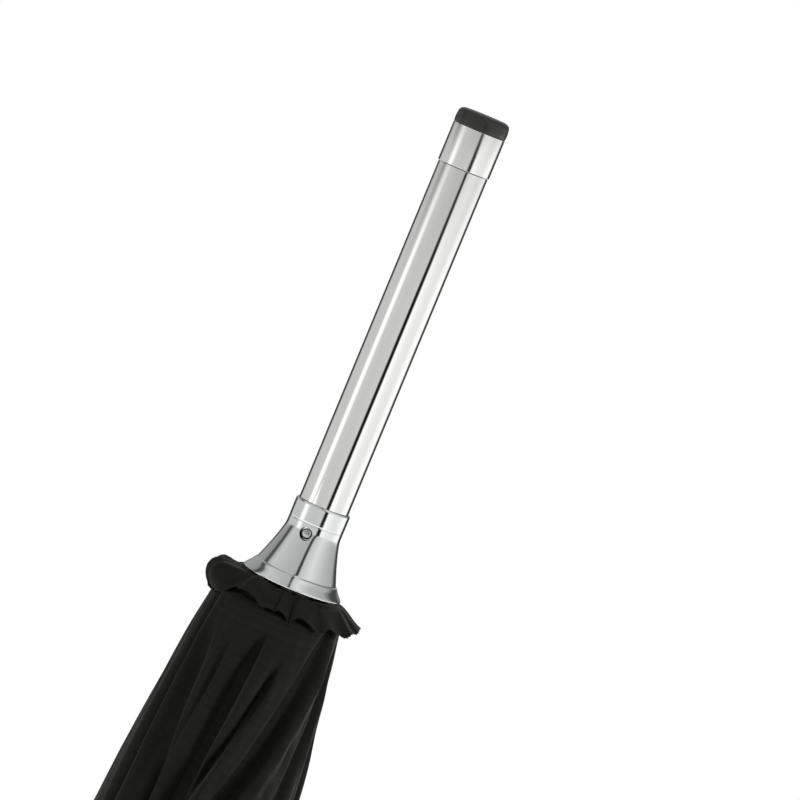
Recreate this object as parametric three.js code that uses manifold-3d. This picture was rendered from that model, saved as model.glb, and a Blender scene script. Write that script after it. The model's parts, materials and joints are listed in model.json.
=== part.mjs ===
// A stick umbrella, closed and held tip up: a steel shaft with a crook handle, a long chrome ferrule
// with a bell cap over a gathered cloth ruffle, and a cover of eight gores on eight folding ribs.
// Millimetres, +Z up towards the tip. The origin is on the shaft's axis at the middle of the grip.

import * as THREE from 'three';
import { mergeVertices } from 'three/addons/utils/BufferGeometryUtils.js';
import Module from 'manifold-3d';

const wasm = await Module();
wasm.setup();

// ---- Driving dimensions ----

const GAP = 0.3; // clearance between pieces that touch or turn in each other

// Frame: eight ribs pivot on a ring wire at the crown, and their stretchers on one at the runner.
const RIB_COUNT = 8;
const FIRST_RIB_DEG = -78; // azimuth of rib 1, counted from +X towards +Y
const CROWN_Z = 700; // height of the rib pivots
const PIVOT_RADIUS = 7.5; // of both rings of pivots
const RIB_LENGTH = 590;
const RIB_RISE = 0.0967; // slope of a closed rib away from the shaft at the crown
const RIB_BOW = 1.33e-4; // how fast the rib curves back towards the shaft, per mm
const RIB_WIDTH = 2.7; // across the channel
const RIB_BACK = 2.4; // from the pivot line out to the back of the channel
const RIB_LIPS = 0.8; // from the pivot line in to the lips of the channel
const RIB_WALL = 0.6;
const RIB_BACK_WALL = 0.8;
const ELBOW_DEPTH = 270; // the stretcher's joint, below the crown pivots; the runner is as far again
const OPEN_ANGLE_DEG = 70; // how far the ribs swing out
const STRETCHER_THICKNESS = 0.9;
const EYE_RADIUS = 1.25;
const EYE_HOLE_RADIUS = 0.8;
const WIRE_RADIUS = 0.5; // ring wires and elbow rivets

// Shaft and runner
const SHAFT_RADIUS = 5;
const SHAFT_BORE = 4.1;
const NOTCH_RADIUS = 9.3; // crown and runner heads that hold the pivots
const NOTCH_HEIGHT = 7;
const NOTCH_FLOOR = 5.9; // how near the axis the slots reach
const RUNNER_LENGTH = 48; // from the runner's pivots down to its lower end
const RUNNER_RADIUS = 6.9;
const CATCH_REACH = 7.8; // how far a catch's nose stands out from the axis
const CATCH_WIDTH = 2.2;
const CATCH_LENGTH = 30;
const CATCH_AZIMUTH_DEG = FIRST_RIB_DEG + 22.5;

// Ferrule, counted up from the rim of the bell cap
const RIM_Z = CROWN_Z + 9;
const BELL_HEIGHT = 16.1;
const BELL_RADIUS = 10;
const NECK_RADIUS = 5.45;
const TUBE_LENGTH = 68.9; // bare tube between the bell cap and the end collar
const COLLAR_HEIGHT = 8.1;
const COLLAR_RADIUS = 5.2;
const RUBBER_HEIGHT = 3.1;
const RIVET_HEIGHT = 10.4;
const RIVET_AZIMUTH_DEG = -101.7;
const RIVET_RADIUS = 0.95;

// Cover
const COVER_TOP_RADIUS = 12;
const COVER_FLARE = 23; // how much wider the closed cover gets on its way down
const COVER_FLARE_DEPTH = 150;
const COVER_THICKNESS = 1.5; // of the folded cloth, as one layer
const COVER_TOP_DEPTH = 6.9; // below the rim
const RUFFLE_RADIUS = 15.4;
const RUFFLE_DEPTH = 6.5;
const HEM_ABOVE_RIB_END = 14; // at the ribs
const STRAP_WIDTH_DEG = 28;
const STRAP_TOP_DEPTH = 395; // below the rim
const STRAP_LENGTH = 165;
const SNAP_RADIUS = 5.5;

// Handle
const GRIP_RADIUS = 8;
const GRIP_TOP_Z = 45;
const CROOK_TOP_Z = -35; // where the straight grip turns into the crook
const CROOK_RADIUS = 27;
const CROOK_RETURN = 17; // straight end of the crook
const SHAFT_SOCKET_Z = 20; // bottom of the shaft's hole in the grip
const END_CAP_HEIGHT = 6;

// ---- Materials ----

const paint = (color, roughness, metalness) =>
  new THREE.MeshStandardMaterial({ color, roughness, metalness });
const chrome = paint(0xe2e4e6, 0.08, 1);
const steel = paint(0x8d9094, 0.35, 1);
const blackSteel = paint(0x26272a, 0.45, 0.6);
const cloth = paint(0x1d1d1b, 0.75, 0);
const rubber = paint(0x2b2b2c, 0.7, 0);
const plastic = paint(0x18181a, 0.35, 0);

// ---- Solids ----

/** A closed three.js geometry as a manifold solid. */
function solid(geometry) {
  const bare = geometry.clone();
  bare.deleteAttribute('normal');
  bare.deleteAttribute('uv');
  const merged = mergeVertices(bare, 1e-4);
  const mesh = new wasm.Mesh({
    numProp: 3,
    vertProperties: Float32Array.from(merged.attributes.position.array),
    triVerts: Uint32Array.from(merged.index.array),
  });
  return new wasm.Manifold(mesh);
}

/** The geometry of base with every cutter taken away and every addition joined on. */
function carve(base, cutters, additions = []) {
  let body = solid(base);
  for (const cutter of cutters) body = body.subtract(solid(cutter));
  for (const addition of additions) body = body.add(solid(addition));
  const { vertProperties, triVerts } = body.getMesh();
  const geometry = new THREE.BufferGeometry();
  geometry.setAttribute('position', new THREE.BufferAttribute(vertProperties, 3));
  geometry.setIndex(new THREE.BufferAttribute(triVerts, 1));
  geometry.computeVertexNormals();
  return geometry;
}

/** A solid of revolution about Z from [radius, z] points, going up on its outside. */
function turned(profile, segments = 32) {
  const points = profile.map(([radius, z]) => new THREE.Vector2(radius, z));
  return new THREE.LatheGeometry(points, segments).rotateX(Math.PI / 2);
}

/** A ring of revolution whose section is the closed outline of [radius, z] points. */
const ring = (outline, segments) => turned([...outline, outline[0]], segments);

/** A plain tube between two heights. */
const tube = (inner, outer, low, high, segments) =>
  ring([[inner, low], [outer, low], [outer, high], [inner, high]], segments);

/** A flat shape drawn in the plane of radius and height, given a thickness along the tangent. */
function plate(shape, thickness, curveSegments = 6) {
  const settings = { depth: thickness, bevelEnabled: false, curveSegments };
  return new THREE.ExtrudeGeometry(shape, settings)
    .rotateX(Math.PI / 2)
    .translate(0, thickness / 2, 0);
}

/** A round bar along the tangent at a radius and height. */
function crossBar(barRadius, length, radius, z) {
  return new THREE.CylinderGeometry(barRadius, barRadius, length, 8).translate(radius, 0, z);
}

/** A closed polygon of [x, y] points. */
const outline = (points) => new THREE.Shape(points.map(([x, y]) => new THREE.Vector2(x, y)));

const group = new THREE.Group();

/** Adds a named piece, turned about Z to its azimuth. */
function add(name, geometry, material, azimuthDeg = 0, z = 0) {
  const mesh = new THREE.Mesh(geometry, material);
  mesh.name = name;
  mesh.rotation.z = THREE.MathUtils.degToRad(azimuthDeg);
  mesh.position.z = z;
  group.add(mesh);
}

// ---- Crown, runner, ribs and stretchers ----

/** Distance of a closed rib's pivot line from the pivot ring, at a depth below the crown. */
const ribOffset = (depth) => RIB_RISE * depth - RIB_BOW * depth * depth;
const ribSlope = (depth) => RIB_RISE - 2 * RIB_BOW * depth;

/** The slotted head that holds one end of every rib or stretcher on its ring wire. */
function notch(slotWidth) {
  const half = NOTCH_HEIGHT / 2;
  const slotLength = NOTCH_RADIUS;
  const slots = Array.from({ length: RIB_COUNT }, (_, i) =>
    new THREE.BoxGeometry(slotLength, slotWidth, NOTCH_HEIGHT + 2)
      .translate(NOTCH_FLOOR + slotLength / 2, 0, 0)
      .rotateZ((2 * Math.PI * i) / RIB_COUNT));
  const wireHole = new THREE.TorusGeometry(PIVOT_RADIUS, EYE_HOLE_RADIUS, 8, 32);
  return carve(tube(SHAFT_RADIUS + GAP, NOTCH_RADIUS, -half, half), [...slots, wireHole]);
}

const ringWire = new THREE.TorusGeometry(PIVOT_RADIUS, WIRE_RADIUS, 6, 32);

/** A curved bar that follows the closed rib between two depths. */
function ribBar(inner, outer, from, to, width) {
  const steps = 14;
  const edge = (offset) => Array.from({ length: steps + 1 }, (_, i) => {
    const depth = from + ((to - from) * i) / steps;
    return [PIVOT_RADIUS + ribOffset(depth) + offset, -depth];
  });
  return plate(outline([...edge(outer), ...edge(inner).reverse()]), width);
}

/** A rib: a steel channel open towards the shaft, with a wire hole and the elbow's rivet. */
function rib() {
  const elbowRadius = PIVOT_RADIUS + ribOffset(ELBOW_DEPTH);
  const slot = RIB_WIDTH - 2 * RIB_WALL;
  const slotDepth = RIB_BACK - RIB_BACK_WALL;
  const bar = ribBar(-RIB_LIPS, RIB_BACK, -1.1, RIB_LENGTH, RIB_WIDTH);
  const channel = ribBar(-2 * RIB_LIPS, slotDepth, 7, RIB_LENGTH + 1, slot);
  const wireHole = crossBar(EYE_HOLE_RADIUS, RIB_WIDTH + 1, PIVOT_RADIUS, 0);
  const rivet = crossBar(WIRE_RADIUS, RIB_WIDTH - RIB_WALL, elbowRadius, -ELBOW_DEPTH);
  return carve(bar, [channel, wireHole], [rivet]);
}

/** A stretcher: a flat bar with an eye at the rib's rivet and one at the runner's ring wire. */
function stretcher() {
  const offset = ribOffset(ELBOW_DEPTH);
  const length = Math.hypot(offset, ELBOW_DEPTH);
  const shape = new THREE.Shape();
  shape.absarc(0, 0, EYE_RADIUS, 0, Math.PI);
  shape.absarc(0, -length, EYE_RADIUS, Math.PI, 2 * Math.PI);
  for (const y of [0, -length]) {
    const hole = new THREE.Path();
    hole.absarc(0, y, EYE_HOLE_RADIUS, 0, 2 * Math.PI, true);
    shape.holes.push(hole);
  }
  return plate(shape, STRETCHER_THICKNESS)
    .rotateY(Math.atan2(offset, ELBOW_DEPTH))
    .translate(PIVOT_RADIUS + offset, 0, -ELBOW_DEPTH);
}

/** The cap on a rib's end, with a pocket for the channel. */
function ribTip() {
  const radius = PIVOT_RADIUS + ribOffset(RIB_LENGTH) + (RIB_BACK - RIB_LIPS) / 2;
  const cap = turned([[0, -9], [1.6, -8.4], [2.4, -6.6], [1.9, -4.6], [2.6, -3], [2.6, 7], [0, 7]], 10);
  const pocketDepth = RIB_BACK + RIB_LIPS + 2 * GAP;
  const pocket = new THREE.BoxGeometry(pocketDepth, RIB_WIDTH + 2 * GAP, 8).translate(0, 0, 4 - GAP);
  return carve(cap, [pocket])
    .rotateY(-Math.atan(ribSlope(RIB_LENGTH)))
    .translate(radius, 0, -RIB_LENGTH);
}

const runnerZ = CROWN_Z - 2 * ELBOW_DEPTH;
const crownNotch = notch(RIB_WIDTH + 2 * GAP);
const runnerNotch = notch(STRETCHER_THICKNESS + 2 * GAP);
const ribShape = rib();
const stretcherShape = stretcher();
const ribTipShape = ribTip();

add('crown_notch', crownNotch, blackSteel, FIRST_RIB_DEG, CROWN_Z);
add('crown_wire', ringWire, steel, FIRST_RIB_DEG, CROWN_Z);
add('runner_notch', runnerNotch, plastic, FIRST_RIB_DEG, runnerZ);
add('runner_wire', ringWire, steel, FIRST_RIB_DEG, runnerZ);

for (let i = 0; i < RIB_COUNT; i += 1) {
  const azimuth = FIRST_RIB_DEG + (360 * i) / RIB_COUNT;
  add(`rib_${i + 1}`, ribShape, blackSteel, azimuth, CROWN_Z);
  add(`rib_tip_${i + 1}`, ribTipShape, chrome, azimuth, CROWN_Z);
  add(`stretcher_${i + 1}`, stretcherShape, blackSteel, azimuth, CROWN_Z);
}

// ---- Shaft, runner sleeve and catches ----

// A catch is a leaf inside the shaft whose nose comes out of a slot. The upper one holds the open
// runner up on its flat top edge; the lower one, upside down, sits in the closed runner's window.
const openAngle = Math.atan2(ribOffset(ELBOW_DEPTH), ELBOW_DEPTH)
  + THREE.MathUtils.degToRad(OPEN_ANGLE_DEG);
const openRunnerZ = CROWN_Z
  - 2 * Math.hypot(ribOffset(ELBOW_DEPTH), ELBOW_DEPTH) * Math.cos(openAngle);
const topCatchZ = openRunnerZ - RUNNER_LENGTH - GAP;
const bottomCatchZ = runnerZ - RUNNER_LENGTH + 12;

const catchShape = plate(outline([
  [-0.8, -CATCH_LENGTH], [0.8, -CATCH_LENGTH], [2.6, -CATCH_LENGTH / 2 - 2],
  [CATCH_REACH, -3], [CATCH_REACH, 0], [-0.8, 0],
]), CATCH_WIDTH);
const upsideDown = catchShape.clone().rotateX(Math.PI);

/** The slot that a catch's nose comes out of, from just past its flat edge to below its slope. */
function catchSlot(z, direction, length, width) {
  const reach = 2 * RUNNER_RADIUS;
  const past = direction * 0.9;
  return new THREE.BoxGeometry(reach, width, length)
    .translate(reach / 2, 0, z + past - (direction * length) / 2)
    .rotateZ(THREE.MathUtils.degToRad(CATCH_AZIMUTH_DEG));
}

const shaftTop = RIM_Z + 1.7;
const slotWidth = CATCH_WIDTH + 2 * GAP;
add('shaft_tube', carve(tube(SHAFT_BORE, SHAFT_RADIUS, SHAFT_SOCKET_Z + GAP, shaftTop), [
  catchSlot(topCatchZ, 1, 18, slotWidth),
  catchSlot(bottomCatchZ, -1, 18, slotWidth),
]), blackSteel);
add('top_catch', catchShape, steel, CATCH_AZIMUTH_DEG, topCatchZ);
add('bottom_catch', upsideDown, steel, CATCH_AZIMUTH_DEG, bottomCatchZ);

const runnerTop = runnerZ - NOTCH_HEIGHT / 2 - GAP;
const runnerBottom = runnerZ - RUNNER_LENGTH;
const runnerBore = SHAFT_RADIUS + GAP;
const thumbRing = 8.6;
add('runner_sleeve', carve(ring([
  [runnerBore, runnerBottom], [thumbRing - 0.6, runnerBottom], [thumbRing, runnerBottom + 1],
  [thumbRing, runnerBottom + 3], [RUNNER_RADIUS, runnerBottom + 5], [RUNNER_RADIUS, runnerTop - 4],
  [NOTCH_RADIUS, runnerTop - 2], [NOTCH_RADIUS, runnerTop], [runnerBore, runnerTop],
]), [catchSlot(bottomCatchZ, -1, 15, slotWidth + 0.4)]), plastic);

// ---- Ferrule ----

const bellTop = RIM_Z + BELL_HEIGHT;
const tubeLow = bellTop + GAP;
const tubeHigh = bellTop + TUBE_LENGTH;
const spigotRadius = NECK_RADIUS - 0.4 - GAP;
const dowelRadius = SHAFT_BORE - GAP;
const dowelLow = RIM_Z - 25;
const dowelHigh = RIM_Z + 35;
const rivetReach = NECK_RADIUS - 0.15;
const rivetFoot = 2.6;

/** A bar pointing out from the axis at the rivet's height and azimuth. */
function rivetBar(radius, from, to) {
  return new THREE.CylinderGeometry(radius, radius, to - from, 12)
    .rotateZ(-Math.PI / 2)
    .translate((from + to) / 2, 0, RIM_Z + RIVET_HEIGHT)
    .rotateZ(THREE.MathUtils.degToRad(RIVET_AZIMUTH_DEG));
}

const rivetHole = rivetBar(RIVET_RADIUS + GAP, rivetFoot - GAP, 2 * NECK_RADIUS);

add('ferrule_dowel', carve(turned([
  [0, dowelLow], [dowelRadius, dowelLow], [dowelRadius, dowelHigh], [0, dowelHigh],
]), [rivetHole]), steel);

add('ferrule_tube', carve(ring([
  [SHAFT_BORE, RIM_Z + 2], [spigotRadius, RIM_Z + 2], [spigotRadius, tubeLow],
  [SHAFT_RADIUS, tubeLow], [SHAFT_RADIUS, tubeHigh], [SHAFT_BORE, tubeHigh],
]), [rivetHole]), chrome);

add('bell_cap', carve(ring([
  [BELL_RADIUS - 0.6, RIM_Z], [BELL_RADIUS, RIM_Z], [BELL_RADIUS, RIM_Z + 0.35],
  [8.6, RIM_Z + 2], [8.05, RIM_Z + 2.4], [6.9, RIM_Z + 5.2], [6, RIM_Z + 7.8],
  [NECK_RADIUS, RIM_Z + 10], [NECK_RADIUS, bellTop - 0.2], [NECK_RADIUS - 0.1, bellTop],
  [NECK_RADIUS - 0.4, bellTop], [NECK_RADIUS - 0.4, RIM_Z + 9.6], [6.3, RIM_Z + 5],
  [8, RIM_Z + 1.6],
]), [rivetHole]), chrome);

add('bell_rivet', rivetBar(RIVET_RADIUS, rivetFoot, rivetReach), steel);

const collarLow = tubeHigh + GAP;
const collarHigh = tubeHigh + COLLAR_HEIGHT;
add('ferrule_collar', ring([
  [4, collarLow], [COLLAR_RADIUS - 0.15, collarLow], [COLLAR_RADIUS, collarLow + 0.2],
  [COLLAR_RADIUS, collarHigh], [4, collarHigh],
]), chrome);

const rubberLow = collarHigh + GAP;
const rubberHigh = collarHigh + RUBBER_HEIGHT;
const stemRadius = 3.7;
add('rubber_tip', turned([
  [0, rubberLow - 12], [stemRadius, rubberLow - 12], [stemRadius, rubberLow],
  [COLLAR_RADIUS, rubberLow], [COLLAR_RADIUS + 0.05, rubberLow + 1.2],
  [COLLAR_RADIUS - 0.35, rubberHigh - 0.5], [COLLAR_RADIUS - 1.1, rubberHigh], [0, rubberHigh],
]), rubber);

// ---- Ruffle, cover and strap ----

add('ruffle', ring([
  [SHAFT_RADIUS + GAP, RIM_Z - 2.2], [10.2, RIM_Z - 2.6], [13, RIM_Z - RUFFLE_DEPTH],
  [RUFFLE_RADIUS - 0.8, RIM_Z - RUFFLE_DEPTH], [RUFFLE_RADIUS, RIM_Z - 3.4],
  [RUFFLE_RADIUS - 1.2, RIM_Z - 0.7], [SHAFT_RADIUS + GAP, RIM_Z - 0.5],
], 24), cloth);

/** Outer radius of the closed cover at a depth below the rim. */
const coverRadius = (depth) =>
  COVER_TOP_RADIUS + COVER_FLARE * (1 - Math.exp(-depth / COVER_FLARE_DEPTH));

/** A curved slab between two azimuths: lower[side] is the depth at each side's lower end. */
function slab(fromDeg, toDeg, topDepth, lower, inset, thickness, rows) {
  const columns = 2;
  const positions = [];
  const faces = [];
  for (let row = 0; row <= rows; row += 1) {
    for (let column = 0; column <= columns; column += 1) {
      const across = column / columns;
      const bottom = lower[0] + (lower[1] - lower[0]) * across;
      const depth = topDepth + ((bottom - topDepth) * row) / rows;
      const azimuth = THREE.MathUtils.degToRad(fromDeg + (toDeg - fromDeg) * across);
      for (const radius of [coverRadius(depth) - inset, coverRadius(depth) - inset - thickness]) {
        positions.push(radius * Math.cos(azimuth), radius * Math.sin(azimuth), RIM_Z - depth);
      }
    }
  }
  const at = (row, column, inner) => 2 * (row * (columns + 1) + column) + inner;
  const quad = (a, b, c, d) => faces.push(a, b, c, a, c, d);
  for (let row = 0; row < rows; row += 1) {
    for (let column = 0; column < columns; column += 1) {
      for (const inner of [0, 1]) {
        const corners = [
          at(row, column, inner), at(row + 1, column, inner),
          at(row + 1, column + 1, inner), at(row, column + 1, inner),
        ];
        quad(...(inner ? corners.reverse() : corners));
      }
    }
    quad(at(row, 0, 0), at(row, 0, 1), at(row + 1, 0, 1), at(row + 1, 0, 0));
    quad(at(row, columns, 1), at(row, columns, 0), at(row + 1, columns, 0), at(row + 1, columns, 1));
  }
  for (let column = 0; column < columns; column += 1) {
    quad(at(0, column, 0), at(0, column + 1, 0), at(0, column + 1, 1), at(0, column, 1));
    quad(at(rows, column, 1), at(rows, column + 1, 1), at(rows, column + 1, 0), at(rows, column, 0));
  }
  const geometry = new THREE.BufferGeometry();
  geometry.setAttribute('position', new THREE.Float32BufferAttribute(positions, 3));
  geometry.setIndex(faces);
  geometry.computeVertexNormals();
  return geometry;
}

// Each gore is two halves, because each half follows the rib that it is sewn to.
const halfGoreDeg = 180 / RIB_COUNT;
const hemDepth = RIM_Z - CROWN_Z + RIB_LENGTH - HEM_ABOVE_RIB_END;
const hemRise = 40; // how much higher the hem is between the ribs
const edgeGapDeg = 0.8;
for (let i = 0; i < RIB_COUNT; i += 1) {
  const ribDeg = FIRST_RIB_DEG + (360 * i) / RIB_COUNT;
  const midDeg = ribDeg + halfGoreDeg;
  const nextDeg = midDeg + halfGoreDeg;
  const left = slab(ribDeg + edgeGapDeg, midDeg - edgeGapDeg, COVER_TOP_DEPTH,
    [hemDepth, hemDepth - hemRise], 0, COVER_THICKNESS, 12);
  const right = slab(midDeg + edgeGapDeg, nextDeg - edgeGapDeg, COVER_TOP_DEPTH,
    [hemDepth - hemRise, hemDepth], 0, COVER_THICKNESS, 12);
  add(`gore_${i + 1}_left`, left, cloth);
  add(`gore_${i + 1}_right`, right, cloth);
}

const strapDeg = FIRST_RIB_DEG + 1.5 * halfGoreDeg;
const strapLow = STRAP_TOP_DEPTH + STRAP_LENGTH;
const strapThickness = 1.2;
add('closure_strap', slab(strapDeg - STRAP_WIDTH_DEG / 2, strapDeg + STRAP_WIDTH_DEG / 2,
  STRAP_TOP_DEPTH, [strapLow, strapLow], -GAP - strapThickness, strapThickness, 4), cloth);

const snapDepth = strapLow - 12;
const snapFace = coverRadius(snapDepth) + 2 * GAP + strapThickness;
add('strap_snap', new THREE.CylinderGeometry(SNAP_RADIUS - 1, SNAP_RADIUS, 1.6, 20)
  .rotateZ(-Math.PI / 2)
  .translate(snapFace + 0.8, 0, RIM_Z - snapDepth), chrome, strapDeg);

// ---- Handle ----

/** The crook: a straight grip on the shaft, a half turn and a short straight end. */
function crookPath() {
  const path = new THREE.CurvePath();
  const point = (x, z) => new THREE.Vector3(x, 0, z);
  path.add(new THREE.LineCurve3(point(0, GRIP_TOP_Z), point(0, CROOK_TOP_Z)));
  const bend = CROOK_RADIUS * (4 / 3) * Math.tan(Math.PI / 8);
  const low = CROOK_TOP_Z - CROOK_RADIUS;
  path.add(new THREE.CubicBezierCurve3(point(0, CROOK_TOP_Z), point(0, CROOK_TOP_Z - bend),
    point(CROOK_RADIUS - bend, low), point(CROOK_RADIUS, low)));
  path.add(new THREE.CubicBezierCurve3(point(CROOK_RADIUS, low), point(CROOK_RADIUS + bend, low),
    point(2 * CROOK_RADIUS, CROOK_TOP_Z - bend), point(2 * CROOK_RADIUS, CROOK_TOP_Z)));
  path.add(new THREE.LineCurve3(point(2 * CROOK_RADIUS, CROOK_TOP_Z),
    point(2 * CROOK_RADIUS, CROOK_TOP_Z + CROOK_RETURN)));
  return path;
}

const gripSection = new THREE.Shape().absarc(0, 0, GRIP_RADIUS, 0, 2 * Math.PI);
const crook = new THREE.ExtrudeGeometry(gripSection, {
  extrudePath: crookPath(), steps: 34, curveSegments: 8,
});
const socket = turned([
  [0, SHAFT_SOCKET_Z], [SHAFT_RADIUS + GAP, SHAFT_SOCKET_Z],
  [SHAFT_RADIUS + GAP, GRIP_TOP_Z + 1], [0, GRIP_TOP_Z + 1],
]);
add('handle_crook', carve(crook, [socket]), plastic);

const ferruleLow = GRIP_TOP_Z + GAP;
add('handle_collar', ring([
  [SHAFT_RADIUS + GAP, ferruleLow], [GRIP_RADIUS + 0.5, ferruleLow],
  [GRIP_RADIUS + 0.5, ferruleLow + 7], [GRIP_RADIUS, ferruleLow + 7.6],
  [GRIP_RADIUS - 0.6, ferruleLow + 11], [SHAFT_RADIUS + 1.2, ferruleLow + 13],
  [SHAFT_RADIUS + GAP, ferruleLow + 13],
]), chrome);

const crookEnd = CROOK_TOP_Z + CROOK_RETURN + GAP;
add('handle_end_cap', turned([
  [0, crookEnd], [GRIP_RADIUS + 0.4, crookEnd], [GRIP_RADIUS + 0.4, crookEnd + END_CAP_HEIGHT - 2],
  [GRIP_RADIUS - 1.6, crookEnd + END_CAP_HEIGHT], [0, crookEnd + END_CAP_HEIGHT],
], 24).translate(2 * CROOK_RADIUS, 0, 0), chrome);

export default group;
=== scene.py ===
"""A closed stick umbrella, tip up: chrome ferrule and bell cap, gathered ruffle, folded black cover.

Everything is in metres in the frame's own axes: +Z runs up the shaft to the tip, and the camera
looks along +Y. Azimuths are counted from +X towards +Y; "front" is the side that faces the camera.
"""
import json
import math

import bpy
import numpy as np
from mathutils import Matrix, Vector


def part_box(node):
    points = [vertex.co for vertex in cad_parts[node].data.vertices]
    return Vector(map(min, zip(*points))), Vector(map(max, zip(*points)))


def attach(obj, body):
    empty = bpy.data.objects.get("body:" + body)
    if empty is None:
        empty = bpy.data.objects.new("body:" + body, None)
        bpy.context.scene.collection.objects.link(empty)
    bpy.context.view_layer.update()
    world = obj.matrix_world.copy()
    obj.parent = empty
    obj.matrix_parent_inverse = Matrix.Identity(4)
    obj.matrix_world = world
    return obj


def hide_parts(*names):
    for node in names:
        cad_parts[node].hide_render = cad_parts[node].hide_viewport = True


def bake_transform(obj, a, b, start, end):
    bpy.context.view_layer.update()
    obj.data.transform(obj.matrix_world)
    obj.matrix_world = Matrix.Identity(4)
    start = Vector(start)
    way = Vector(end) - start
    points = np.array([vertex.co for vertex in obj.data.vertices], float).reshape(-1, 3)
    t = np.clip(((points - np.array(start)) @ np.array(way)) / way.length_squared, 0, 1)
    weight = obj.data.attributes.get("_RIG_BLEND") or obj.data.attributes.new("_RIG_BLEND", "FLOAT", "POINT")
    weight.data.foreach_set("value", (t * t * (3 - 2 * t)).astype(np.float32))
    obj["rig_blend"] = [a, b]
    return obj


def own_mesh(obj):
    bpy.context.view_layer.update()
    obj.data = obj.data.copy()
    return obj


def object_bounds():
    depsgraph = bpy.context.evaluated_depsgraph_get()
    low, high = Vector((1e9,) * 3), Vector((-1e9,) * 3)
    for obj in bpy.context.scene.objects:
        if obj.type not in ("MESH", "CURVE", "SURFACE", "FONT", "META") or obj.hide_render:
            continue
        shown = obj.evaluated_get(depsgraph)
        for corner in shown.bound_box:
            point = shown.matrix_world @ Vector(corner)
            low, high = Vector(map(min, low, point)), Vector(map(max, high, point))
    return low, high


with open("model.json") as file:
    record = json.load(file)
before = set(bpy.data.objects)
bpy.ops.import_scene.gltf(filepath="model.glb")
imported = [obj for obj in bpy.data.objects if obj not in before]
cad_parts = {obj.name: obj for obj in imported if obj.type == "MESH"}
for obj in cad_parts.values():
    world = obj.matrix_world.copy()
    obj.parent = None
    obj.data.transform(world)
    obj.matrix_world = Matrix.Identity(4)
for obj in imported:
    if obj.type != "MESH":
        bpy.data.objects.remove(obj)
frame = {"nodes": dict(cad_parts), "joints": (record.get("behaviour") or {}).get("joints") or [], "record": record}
cad_box = [list(corner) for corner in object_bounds()]

MM = 0.001
JOINTS = {joint["name"]: joint for joint in frame["joints"]}
COUPLINGS = {c["joint"]: c for c in frame["record"]["behaviour"]["couplings"]}
FRONT = math.radians(-90)

# ---- Heights and radii read from the frame ----

RIM_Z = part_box("bell_cap")[0][2]
BELL_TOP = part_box("bell_cap")[1][2]
TUBE_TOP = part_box("ferrule_tube")[1][2]
COLLAR_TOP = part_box("ferrule_collar")[1][2]
TIP_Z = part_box("rubber_tip")[1][2]
SHAFT_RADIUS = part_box("shaft_tube")[1][0]
COLLAR_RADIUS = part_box("ferrule_collar")[1][0]
PIVOT = Vector(JOINTS["rib_1_open"]["pos_m"])
CROWN_Z = PIVOT.z
PIVOT_RADIUS = math.hypot(PIVOT.x, PIVOT.y)
FIRST_RIB = math.atan2(PIVOT.y, PIVOT.x)
RIB_COUNT = 8
OPEN_ANGLE = math.radians(JOINTS["rib_1_open"]["range_deg"][1])

# The closed rib's pivot line leaves the pivot ring by RIB_RISE x depth - RIB_BOW x depth squared.
RIB_RISE = 0.0967
RIB_BOW = 0.133
RIB_BACK = 2.4 * MM  # from the pivot line out to the back of the rib's channel
RIB_LIPS = 0.8 * MM  # and in to the channel's lips
RIB_LENGTH = 0.590  # depth of the rib's end below its pivot
HEM_ABOVE_RIB_END = 0.014

TUBE_BORE = 4.1 * MM  # of the shaft and of the ferrule's tube
AXIS_RADIUS = 1e-6  # stands for a point on an axis


# ---- Camera ----

VIEW_DISTANCE = 1.15
VIEW_WIDTH = 0.1515  # what the frame spans at that distance
VIEW_AIM = Vector((5.65 * MM, 0, RIM_Z + 40.25 * MM))
CAMERA_ABOVE_AIM = 0.098
LEAN = math.radians(22.55)  # how far the umbrella leans to the right in the picture
SENSOR = 36.0


def add_camera():
    """A long lens in front of the ferrule, a little above it, rolled so that the umbrella leans."""
    data = bpy.data.cameras.new("camera")
    data.sensor_width = SENSOR
    data.lens = SENSOR * VIEW_DISTANCE / VIEW_WIDTH
    data.clip_start = 0.05
    data.clip_end = 50
    camera = bpy.data.objects.new("camera", data)
    bpy.context.scene.collection.objects.link(camera)
    level = math.sqrt(VIEW_DISTANCE ** 2 - CAMERA_ABOVE_AIM ** 2)
    place = VIEW_AIM + Vector((0, -level, CAMERA_ABOVE_AIM))
    towards = (VIEW_AIM - place).to_track_quat("-Z", "Y").to_matrix().to_4x4()
    camera.matrix_world = Matrix.Translation(place) @ towards @ Matrix.Rotation(LEAN, 4, "Z")
    bpy.context.scene.camera = camera
    bpy.context.scene.view_settings.view_transform = "Standard"


add_camera()


# ---- Light ----

FLAG_LEAN = 0.54  # radians that the walls' pattern is turned by, from the horizon to overhead

# Brightness of the studio by azimuth in degrees, 0 behind the camera and 90 to its right, as
# upright surfaces mirror it and as surfaces that face a little upwards do.
LOW_WALLS = [
    (-180, 0.3), (-170, 0.05), (-141, 0.05), (-132, 0.58), (-78, 0.60), (-70, 1.15), (-60, 1.15),
    (-50, 0.64), (-20, 0.60), (13, 0.64), (18, 0.01), (28, 0.01), (33, 1.1), (58, 0.90),
    (84, 0.86), (112, 1.1), (128, 1.1), (139, 0.05), (168, 0.05), (180, 0.3),
]
HIGH_WALLS = [
    (-180, 0.34), (-140, 0.36), (-104, 0.30), (-98, 0.08), (-88, 0.08), (-80, 0.48), (-66, 0.62),
    (-50, 0.58), (-12, 0.50), (16, 0.46), (20, 0.03), (25, 0.03), (30, 0.60), (60, 0.80),
    (100, 0.54), (134, 0.42), (148, 0.07), (160, 0.07), (170, 0.34), (180, 0.34),
]
WALLS_MEET = (-0.05, 0.14)  # slopes between which the low walls turn into the high ones
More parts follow.
